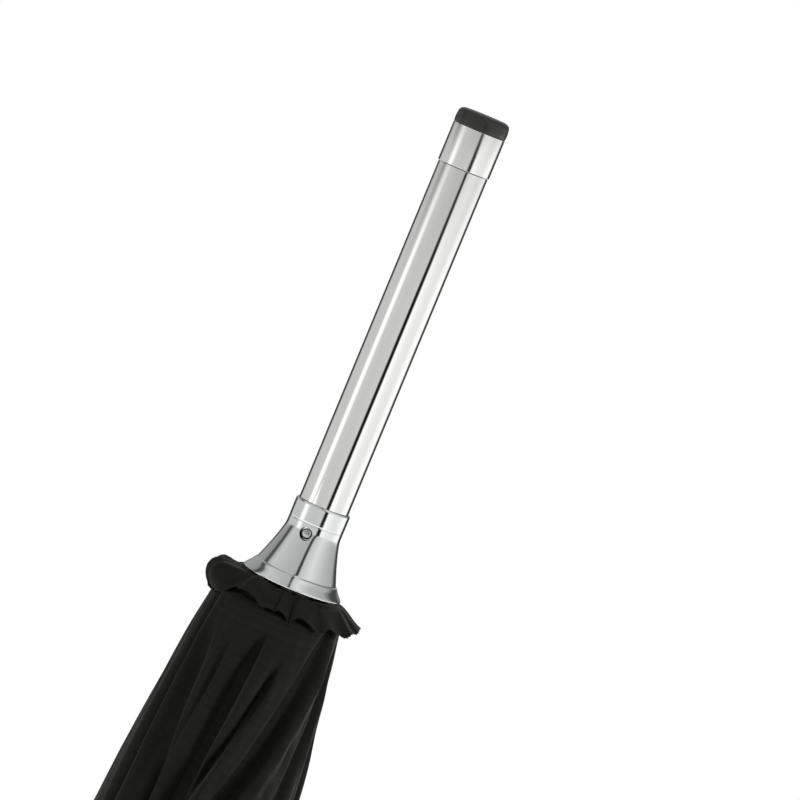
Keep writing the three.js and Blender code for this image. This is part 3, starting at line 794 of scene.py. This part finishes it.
def half_gore(name, rib_azimuth, side):
    """Cloth of one half gore: rest points, blend weights and cut size.

    The sheet starts on its rib, folds to and fro in thin hidden passes one on another, and ends in
    the pleated outer face that reaches the middle of the gore. A weight says how far a point goes
    from the rib's motion to the motion of the gore's middle, in step with its distance along the
    cloth, so that the open gore is a flat, taut panel with the same cloth in it.
    """
    joint = JOINTS[name + "_spread"]
    swing = COUPLINGS[name + "_spread"]["ratio"] * OPEN_ANGLE
    rib_s = np.concatenate([
        np.linspace(TOP_S, FINE_S, TOP_ROWS, endpoint=False), np.linspace(FINE_S, HEM_S, LOW_ROWS),
    ])[:, None]
    hidden = np.linspace(0, 1, PASSES * PASS_STEPS, endpoint=False)[None, :]
    bridge = np.arange(1, BRIDGE_STEPS + 1)[None, :] / (BRIDGE_STEPS + 1)
    shown = (np.arange(SHOWN_STEPS + 1) / SHOWN_STEPS)[None, :] ** SHOWN_POWER
    tangent = side * np.array([-math.sin(rib_azimuth), math.cos(rib_azimuth), 0])
    start_azimuth = side * seam_shift(rib_s)
    edge_azimuth = start_azimuth + HALF_GORE
    edge_s = np.where(rib_s > 0, rib_s * GORE_MIDDLE, rib_s)

    def place(radius, turn, s):
        """Points from a radius, an angle from the rib and a depth."""
        return round_axis(radius, rib_azimuth + side * turn, CROWN_Z - s)

    def least_radius(turn, s, nearby):
        """The least radius of the outer face near an angle from the rib."""
        azimuth = rib_azimuth + side * turn
        return np.min([cover_radius(azimuth + math.radians(near), s) for near in nearby], 0)

    def lay_out(s, sweep):
        """Rest points for a depth at each point and a fold width, in radians, for each row."""
        fold = sweep * (1 - np.cos(math.pi * PASSES * hidden)) / 2 + FIRST_FOLD
        s_hidden, s_bridge, s_shown = np.split(s, [hidden.size, hidden.size + bridge.size], 1)
        face = least_radius(fold, s_hidden, FOLD_NEAR) - FOLD_CLEAR
        inner = inner_radius(s_hidden)
        face = np.maximum(face, inner + FOLD_DEPTH_MIN)
        cross = fold[:, -1:] + (start_azimuth - fold[:, -1:]) * bridge
        under = least_radius(cross, s_bridge, BRIDGE_NEAR) - BRIDGE_CLEAR
        turn = start_azimuth + (edge_azimuth - start_azimuth) * shown
        outer = cover_radius(rib_azimuth + side * turn, s_shown)
        arc = (turn - start_azimuth) * outer
        outer = outer + BEAD_HEIGHT * np.exp(-((arc / BEAD_WIDTH) ** 2)) * (s_shown > -CROWN_DEPTH)
        return np.concatenate([
            place(inner + (face - inner) * hidden, fold, s_hidden),
            place(under, cross, s_bridge),
            place(outer, turn, s_shown),
        ], 1)

    def along(points):
        """Distance along each row from the rib."""
        steps = np.linalg.norm(np.diff(points, axis=1), axis=2)
        return np.concatenate([np.zeros((len(points), 1)), np.cumsum(steps, axis=1)], 1)

    columns = hidden.size + bridge.size + shown.size
    s = rib_s + (edge_s - rib_s) * np.linspace(0, 1, columns)[None, :]
    edge_point = place(cover_radius(rib_azimuth + side * edge_azimuth, edge_s), edge_azimuth, edge_s)
    rib_point = place(inner_radius(rib_s), FIRST_FOLD + 0 * rib_s, rib_s)
    span = turn_points(edge_point, joint, swing + 0 * rib_s) - rib_point
    width = np.hypot(span @ tangent, span[..., 2])
    sweep = np.full_like(rib_s, SWEEP_START)
    for _ in range(SWEEP_ROUNDS):
        length = along(lay_out(s, sweep))
        hidden_length = length[:, hidden.size - 1:hidden.size]
        wanted = width - (length[:, -1:] - hidden_length)
        sweep = sweep * np.maximum(wanted, 0.2 * MM) / hidden_length
        sweep = np.clip(sweep, SWEEP_MIN, SWEEP_MAX)
    share = along(lay_out(s, sweep))
    share = share / share[:, -1:]
    weight = share
    settle = smooth((rib_s - SETTLE_START) / SETTLE_LENGTH)
    s = rib_s + (edge_s - rib_s) * share
    for _ in range(SETTLE_ROUNDS):
        points = lay_out(s, sweep)
        reached = turn_points(points, joint, weight * swing)
        nudged = turn_points(points, joint, (weight + WEIGHT_STEP) * swing)
        slope = (nudged - reached) @ tangent / WEIGHT_STEP
        miss = rib_point + span * share[..., None] - reached
        change = (miss @ tangent) / np.where(slope == 0, 1, slope)
        weight = weight + settle * np.where(np.abs(slope) > SLOPE_MIN, change, 0)
        weight = np.clip(weight, 0, 1)
        s = s - settle * miss[..., 2]
    points = lay_out(s, sweep)
    uv = np.stack([share * width, rib_s + 0 * share], -1)
    area = float(np.sum((width[1:, 0] + width[:-1, 0]) / 2 * np.diff(rib_s[:, 0])))
    return points, weight, uv, (float(width[-1, 0]), float(HEM_S - TOP_S), area)


def build_cover():
    """Sixteen half gores, each spread between the rib it is sewn to and the middle of its gore."""
    for number in range(1, RIB_COUNT + 1):
        for side, word in ((1, "left"), (-1, "right")):
            name = f"gore_{number}_{word}"
            rib = number if side == 1 else number % RIB_COUNT + 1
            azimuth = FIRST_RIB + 2 * HALF_GORE * (number - 1 if side == 1 else number)
            points, weight, uv, cut = half_gore(name, azimuth, side)
            rows, columns = weight.shape
            piece = make_piece(name + "_cloth", points.reshape(-1, 3),
                               grid_faces(rows, columns, flip=side == 1), CLOTH,
                               uv=uv.reshape(-1, 2))
            bend = JOINTS[name + "_spread"]
            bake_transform(piece, f"rib_{rib}", name, start=bend["pos_m"], end=tuple(points[-1, -1]))
            values = piece.data.attributes["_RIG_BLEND"].data
            values.foreach_set("value", weight.astype(np.float32).ravel())
            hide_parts(name)


def build_neck():
    """The cover's neck, drawn in round the crown between the gores' top edges and the frill."""
    columns = 360
    turn = np.linspace(0, 2 * math.pi, columns, endpoint=False)
    hem = CROWN_DEPTH + TOP_S - HAIRLINE
    rows = []
    reached = cover_radius(turn, NECK_GATHER - CROWN_DEPTH)
    for share in np.linspace(0, 1, 4, endpoint=False):
        radius = NECK_BORE + (reached - NECK_BORE) * share
        rows.append((NECK_TOP + (NECK_GATHER - NECK_TOP) * share, radius))
    for depth in np.linspace(NECK_GATHER, hem, 12):
        rows.append((depth, cover_radius(turn, depth - CROWN_DEPTH)))
    vertices = np.concatenate([round_axis(radius, turn, RIM_Z - depth) for depth, radius in rows])
    uv = np.concatenate([np.stack([radius * turn, depth + 0 * turn], -1) for depth, radius in rows])
    faces = grid_faces(len(rows), columns, wrap=True, flip=True)
    piece = make_piece("cover_neck", vertices, faces, CLOTH, uv=uv)
    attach(piece, "root")
    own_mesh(piece)


# ---- Ruffle ----

# The frill's outer edge round the shaft: azimuth from the front in degrees, radius and height from
# the bell's rim in mm, and how far the cloth arches up on the way out.
FRILL = [
    (-180, 14.4, -3.6, 0.6), (-155, 15.0, -4.6, 0.4), (-130, 14.2, -3.0, 0.6), (-108, 15.2, -4.0, 0.8),
    (-90, 15.5, -5.3, 0.8), (-72, 14.9, -6.0, 0.8), (-59, 13.2, -5.6, 0.7), (-47, 13.0, -3.2, 0.9),
    (-36, 13.7, -3.6, 1.0), (-25, 13.3, -3.2, 0.9), (-13, 13.6, -5.0, 0.2), (-3, 12.9, -4.0, 0.5),
    (8, 13.8, -5.3, 0.2), (20, 13.0, -4.2, 0.4), (33, 14.0, -5.4, 0.3), (48, 13.5, -4.4, 0.2),
    (63, 14.6, -4.8, 0.5), (80, 15.2, -3.8, 0.3), (97, 15.5, -2.8, 0.4), (115, 14.6, -4.0, 0.5),
    (135, 15.1, -3.0, 0.6), (158, 14.2, -4.4, 0.4),
]
FRILL_BORE = 6.2  # radius and height from the rim where the frill starts, in mm
FRILL_START = -0.9
FRILL_COLUMNS = 1080
FRILL_ROWS = 26
GATHERS = 17
TEETH = 108
SMOOTH_REACH = 12  # columns to each side that the frill's edge is smoothed over
SMOOTH_WIDTH = 5.5
FLUTE_OUT = 0.26  # how far the gathers' waves go out, in the rolls too, up and round
FLUTE_OUT_ROLLED = 0.34
FLUTE_UP = 0.42
FLUTE_ROUND = 0.034
INNER_CEILING = -0.35  # the inner half keeps this far below the rim
# Where the frill rolls over instead: share of the way out, radius and height from the rim in mm
ROLL = [
    (0, FRILL_BORE, FRILL_START), (0.3, 9.9, -0.5), (0.5, 12.3, -0.4), (0.62, 14.1, -0.4),
    (0.70, 15.1, -1.1), (0.78, 15.6, -2.3), (0.86, 15.5, -3.7), (0.93, 14.8, -5.0), (1, 13.7, -6.2),
]
ROLL_CENTRES = [(-86, 26), (172, 22)]  # azimuth from the front and half width, degrees


def build_ruffle():
    """The gathered frill under the bell: one ring of cloth in waves, with a frayed, pinked edge."""
    rng = np.random.default_rng(11)
    psi = np.linspace(-180, 180, FRILL_COLUMNS, endpoint=False)
    stations = [row[0] for row in FRILL]
    reach = np.arange(-SMOOTH_REACH, SMOOTH_REACH + 1)
    kernel = np.exp(-((reach / SMOOTH_WIDTH) ** 2))
    kernel = kernel / kernel.sum()

    def around(values):
        """A smooth closed curve through the stations' values."""
        raw = np.interp(psi, stations, values, period=360)
        padded = np.concatenate([raw[-SMOOTH_REACH:], raw, raw[:SMOOTH_REACH]])
        return np.convolve(padded, kernel, "valid")

    edge_radius, edge_height, arch = (around([row[k] for row in FRILL]) for k in (1, 2, 3))
    turn = np.radians(psi)
    strength = 0.8 + 0.35 * np.sin(3 * turn + 1) + 0.25 * np.sin(7 * turn)
    phase = GATHERS * turn + 1.3 * np.sin(4 * turn + 0.5) + 0.8 * np.sin(9 * turn)
    rolled = 0 * psi
    for centre, half in ROLL_CENTRES:
        away = (psi - centre + 180) % 360 - 180
        rolled = np.maximum(rolled, smooth(1.5 - np.abs(away) / half))
    tooth = np.abs(((psi + 180) / 360 * TEETH) % 1 - 0.5) * 2
    lengths = rng.uniform(0.05, 0.26, TEETH * 3)
    ragged = np.repeat(lengths, FRILL_COLUMNS // lengths.size + 1)[:FRILL_COLUMNS]
    roll_share, roll_radius, roll_height = zip(*ROLL)
    rows = []
    uv = []
    for row in range(FRILL_ROWS):
        v = row / (FRILL_ROWS - 1)
        hem = tooth * ragged if row == FRILL_ROWS - 1 else 0
        gather = smooth((v - 0.12) / 0.7) * strength
        radius = FRILL_BORE + (edge_radius - FRILL_BORE) * min(1, 1.04 * v)
        start = 0.28 + 0.14 * arch
        fall = smooth((v - start) / (1.04 - start))
        rise = arch * np.sin(math.pi * np.clip((v - 0.2) / 0.75, 0, 1))
        height = FRILL_START + (edge_height - FRILL_START) * fall + rise
        radius = radius + (np.interp(v, roll_share, roll_radius) - radius) * rolled
        height = height + (np.interp(v, roll_share, roll_height) - height) * rolled
        radius = radius + (FLUTE_OUT + FLUTE_OUT_ROLLED * rolled) * gather * np.cos(phase) + hem
        height = height + FLUTE_UP * gather * np.sin(phase) - 0.5 * hem
        if v < 0.5:
            height = np.minimum(height, INNER_CEILING)
        azimuth = FRONT + turn - FLUTE_ROUND * gather * np.sin(phase + 0.9)
        rows.append(round_axis(radius * MM, azimuth, RIM_Z + height * MM))
        uv.append(np.stack([turn * 24 * MM, np.full_like(turn, 12 * MM * v)], -1))
    faces = grid_faces(FRILL_ROWS, FRILL_COLUMNS, wrap=True, flip=True)
    piece = make_piece("ruffle_frill", np.concatenate(rows), faces, RUFFLE_CLOTH,
                       uv=np.concatenate(uv))
    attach(piece, "root")
    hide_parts("ruffle")
    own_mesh(piece)


# ---- Strap ----

STRAP_NEAR = (-0.12, -0.06, 0, 0.06, 0.12)  # radians to each side where it clears the pleats
STRAP_LIFT = 1.1  # mm above the pleats' crests
STITCH_PLACE = 0.86  # of its half width
STITCH_WIDTH = 0.045
STITCH_DEPTH = -0.12


def build_strap():
    """The closing strap, hanging by its sewn end on the cover, and its snap."""
    lowest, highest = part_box("closure_strap")
    azimuth = FIRST_RIB + 1.5 * HALF_GORE
    half = math.radians(14)
    rows = 60
    columns = 24
    vertices = []
    uv = []
    for row in range(rows):
        z = highest.z + (lowest.z - highest.z) * row / (rows - 1)
        s = CROWN_Z - z
        for column in range(columns):
            u = 2 * column / (columns - 1) - 1
            near = azimuth + half * u
            stitched = np.exp(-(((abs(u) - STITCH_PLACE) / STITCH_WIDTH) ** 2)) * STITCH_DEPTH
            sway = 0.25 * math.sin(row / 5.2) + 0.2 * u * math.sin(row / 8.5 + 1)
            lift = STRAP_LIFT + sway + stitched
            radius = max(cover_radius(near + turn, s) for turn in STRAP_NEAR) + lift * MM
            vertices.append((radius * math.cos(near), radius * math.sin(near), z))
            uv.append((half * u * radius, z))
    faces = grid_faces(rows, columns)
    strap = make_piece("closure_strap_band", vertices, faces, CLOTH, uv=uv)
    fixed(strap, "gore_1_right", "closure_strap")

    low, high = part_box("strap_snap")
    middle = (low + high) / 2
    face = cover_radius(azimuth, CROWN_Z - middle.z) + 0.9 * MM
    rings = [(0, 0.2), (5.2, 0.2), (5.5, 0.5), (5.45, 1.0), (5.0, 1.35), (4.3, 1.45), (3.9, 1.3),
             (3.6, 1.35), (2.8, 1.75), (1.5, 1.98), (0, 2.05)]
    rings = [(radius * MM, face + out * MM) for radius, out in rings]
    snap = turned_out("strap_snap_button", rings, azimuth, middle.z, CHROME_COLLAR, 64)
    fixed(snap, "gore_1_right", "strap_snap")


# ---- Shaft and runner ----

SLOT_WIDTH = 3.6 * MM
SLOT_LENGTH = 18 * MM
SLOT_ROOM = 0.9 * MM  # beyond the catch
CUT_REACH = 12 * MM  # past the walls that are cut
WINDOW_LENGTH = 15 * MM
WINDOW_WIDTH = SLOT_WIDTH + 0.4 * MM


def build_shaft():
    """The shaft tube with its two catch slots, and the runner's sleeve with its window."""
    low, high = (corner.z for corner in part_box("shaft_tube"))
    wall = [
        (TUBE_BORE, low), (SHAFT_RADIUS, low), (SHAFT_RADIUS, high), (TUBE_BORE, high), (TUBE_BORE, low),
    ]
    shaft = revolve("shaft_tube_drawn", rounded(wall, 0.1 * MM, 3), BLACK_STEEL, 96)
    press_axis = JOINTS["top_catch_press"]["axis"]
    azimuth = math.atan2(press_axis[0], -press_axis[1])
    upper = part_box("top_catch")[1].z + SLOT_ROOM
    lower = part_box("bottom_catch")[0].z - SLOT_ROOM
    carve(shaft, block(azimuth, CUT_REACH, SLOT_WIDTH, upper - SLOT_LENGTH, upper))
    carve(shaft, block(azimuth, CUT_REACH, SLOT_WIDTH, lower, lower + SLOT_LENGTH))
    fixed(shaft, "root", "shaft_tube")

    base, top = (corner.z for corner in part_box("runner_sleeve"))
    inside = SHAFT_RADIUS + 0.3 * MM
    body = 6.9 * MM
    head = 9.3 * MM
    thumb = 8.6 * MM
    section = [
        (inside, base), (thumb - 0.8 * MM, base), (thumb, base + 1.0 * MM), (thumb, base + 3.0 * MM),
        (body, base + 5.2 * MM), (body, top - 4.2 * MM), (head, top - 2.0 * MM), (head, top),
        (inside, top), (inside, base),
    ]
    sleeve = revolve("runner_sleeve_mould", rounded(section, 0.7 * MM, 5), PLASTIC, 96)
    carve(sleeve, block(azimuth, CUT_REACH, WINDOW_WIDTH, lower, lower + WINDOW_LENGTH))
    fixed(sleeve, "runner", "runner_sleeve")


# ---- Handle ----

CROOK_SEGMENTS = 72
STRAIGHT_STEPS = 12
BEND_STEPS = 64
NOSE_STEPS = 5


def build_handle():
    """The lacquered crook with its socket, and the two chrome fittings at its ends."""
    grip = 8 * MM
    lowest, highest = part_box("handle_crook")
    bend = (highest.x - lowest.x - 2 * grip) / 2
    straight = lowest.z + grip + bend
    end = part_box("handle_end_cap")[0].z - 0.3 * MM
    socket = SHAFT_RADIUS + 0.3 * MM
    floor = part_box("shaft_tube")[0].z - 0.3 * MM
    shoulder = highest.z - 0.5 * MM
    rings = [(0, floor, 0, AXIS_RADIUS), (0, floor, 0, socket), (0, highest.z, 0, socket)]
    rings += [(0, highest.z, 0, grip - 0.5 * MM), (0, highest.z - 0.15 * MM, 0, grip - 0.15 * MM)]
    for k in range(STRAIGHT_STEPS):
        rings.append((0, shoulder - k / STRAIGHT_STEPS * (shoulder - straight), 0, grip))
    for k in range(BEND_STEPS + 1):
        angle = math.pi * k / BEND_STEPS
        rings.append((bend * (1 - math.cos(angle)), straight - bend * math.sin(angle), angle, grip))
    for k in range(1, NOSE_STEPS + 1):
        z = straight + (end - 0.4 * MM - straight) * k / NOSE_STEPS
        rings.append((2 * bend, z, math.pi, grip))
    rings += [(2 * bend, end, math.pi, grip - 0.4 * MM), (2 * bend, end, math.pi, AXIS_RADIUS)]
    vertices = []
    for x, z, angle, radius in rings:
        for inward, aside in circle(radius, CROOK_SEGMENTS):
            vertices.append((x + inward * math.cos(angle), aside, z + inward * math.sin(angle)))
    faces = grid_faces(len(rings), CROOK_SEGMENTS, wrap=True)
    crook = make_piece("handle_crook_grip", vertices, faces, LACQUER, SHARP_CARVED)
    fixed(crook, "root", "handle_crook")

    low, high = (corner.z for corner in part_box("handle_collar"))
    wide = grip + 0.5 * MM
    collar = [
        (socket, low), (wide - 0.3 * MM, low), (wide, low + 0.3 * MM), (wide, low + 1.2 * MM),
        (wide - 0.35 * MM, low + 1.6 * MM), (wide, low + 2.0 * MM), (wide, low + 7 * MM),
        (grip, low + 7.6 * MM), (grip - 0.6 * MM, low + 11 * MM), (SHAFT_RADIUS + 1.2 * MM, high),
        (socket, high), (socket, low),
    ]
    piece = revolve("handle_collar_turned", rounded(collar, 0.4 * MM, 5), CHROME_COLLAR, 96)
    fixed(piece, "root", "handle_collar")

    low, high = (corner.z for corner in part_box("handle_end_cap"))
    wide = grip + 0.4 * MM
    cap = [
        (0, low), (wide - 0.3 * MM, low), (wide, low + 0.3 * MM), (wide, high - 2.4 * MM),
        (wide - 0.8 * MM, high - 1.0 * MM), (grip - 2.2 * MM, high - 0.1 * MM), (0, high),
    ]
    piece = revolve("handle_end_cap_turned", rounded(cap, 0.8 * MM, 6), CHROME_COLLAR, 96,
                    centre=(2 * bend, 0))
    fixed(piece, "root", "handle_end_cap")


# ---- Rib tips ----

# Half section of a rib's end cap, open at its top where the rib goes in: radius and height in mm
TIP_SECTION = [
    (0, -9.0), (1.0, -8.9), (1.7, -8.3), (2.3, -7.3), (2.35, -6.4), (1.95, -5.4), (1.85, -4.6),
    (2.2, -3.6), (2.6, -3.0), (2.6, 6.6), (2.45, 7.0), (2.3, 7.0), (2.3, -0.3), (0, -0.3),
]


def build_rib_tips():
    """The turned chrome caps that the hem's corners are sewn to."""
    slope = RIB_RISE - 2 * RIB_BOW * RIB_LENGTH
    radius = PIVOT_RADIUS + rib_offset(RIB_LENGTH) + (RIB_BACK - RIB_LIPS) / 2
    tilt = Matrix.Rotation(-math.atan(slope), 4, "Y")
    place = Matrix.Translation((radius, 0, CROWN_Z - RIB_LENGTH))
    section = rounded([(across * MM, height * MM) for across, height in TIP_SECTION], 0.3 * MM, 3)
    for number in range(1, RIB_COUNT + 1):
        azimuth = FIRST_RIB + 2 * HALF_GORE * (number - 1)
        cap = revolve(f"rib_tip_{number}_cap", section, CHROME_COLLAR, 40, 40)
        cap.data.transform(Matrix.Rotation(azimuth, 4, "Z") @ place @ tilt)
        fixed(cap, f"rib_{number}", f"rib_tip_{number}")


# ---- Frame parts that keep their own shape ----

def finish_frame_parts():
    """Gives each frame node that is still shown its material."""
    finishes = {
        "ferrule_dowel": STEEL, "crown_notch": BLACK_STEEL, "crown_wire": STEEL, "top_catch": STEEL,
        "bottom_catch": STEEL, "runner_notch": PLASTIC, "runner_wire": STEEL,
    }
    for number in range(1, RIB_COUNT + 1):
        finishes[f"rib_{number}"] = BLACK_STEEL
        finishes[f"stretcher_{number}"] = BLACK_STEEL
    for name, material in finishes.items():
        node = frame["nodes"][name]
        node.data.materials.clear()
        node.data.materials.append(material)


build_ferrule()
build_bell()
build_cover()
build_neck()
build_ruffle()
build_strap()
build_shaft()
build_handle()
build_rib_tips()
finish_frame_parts()
add_sun("left", (-1.0, -0.25, 0.5), 1.5, 16)
add_sun("right", (1.0, -0.55, 0.5), 2.2, 14)
add_sun("behind", (0.35, 1.0, 0.5), 3.0, 30)
add_world()
add_floor()
